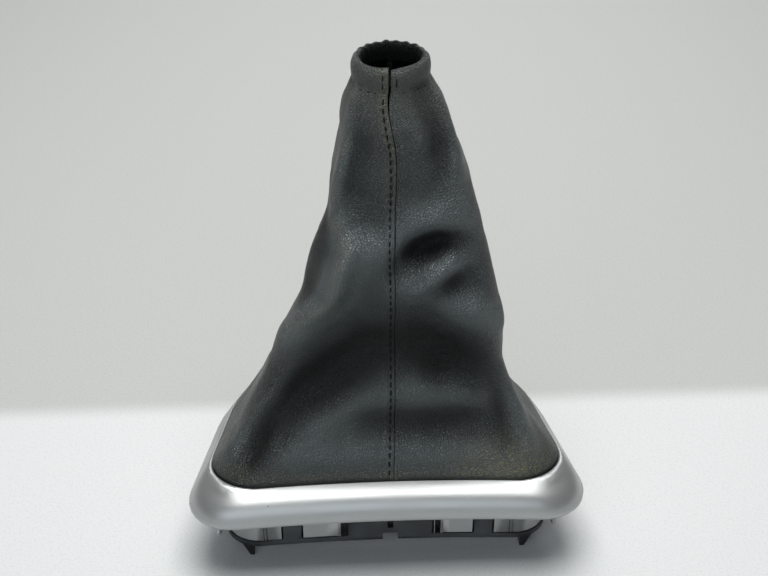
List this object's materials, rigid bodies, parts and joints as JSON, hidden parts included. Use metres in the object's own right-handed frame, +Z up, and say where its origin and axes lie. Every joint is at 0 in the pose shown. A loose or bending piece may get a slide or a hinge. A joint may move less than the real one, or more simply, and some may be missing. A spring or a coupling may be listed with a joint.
{
  "type": "gear lever gaiter",
  "caption": "Leather gear lever gaiter with a drawn neck, a silver arched bezel around its foot and a black clip-in retainer frame below.",
  "frame": {"origin": "on the surface it stands on, under the centre of the bezel", "axes": "+Z up along the gaiter to its neck, -Y towards the seam and the bezel's wide edge, +X to the right seen from there"},
  "size_m": [0.1688, 0.106, 0.214],
  "materials": {
    "silver_paint": "satin silver paint on moulded plastic",
    "black_plastic": "moulded, lightly textured",
    "leather": "pebbled, satin, slightly dusty",
    "elastic": "woven elastic"
  },
  "bodies": {
    "root": {"bezel": "silver_paint", "retainer_frame": "black_plastic", "gaiter_left_panel": "leather", "gaiter_right_panel": "leather", "neck_elastic": "elastic"}
  },
  "joints": []
}
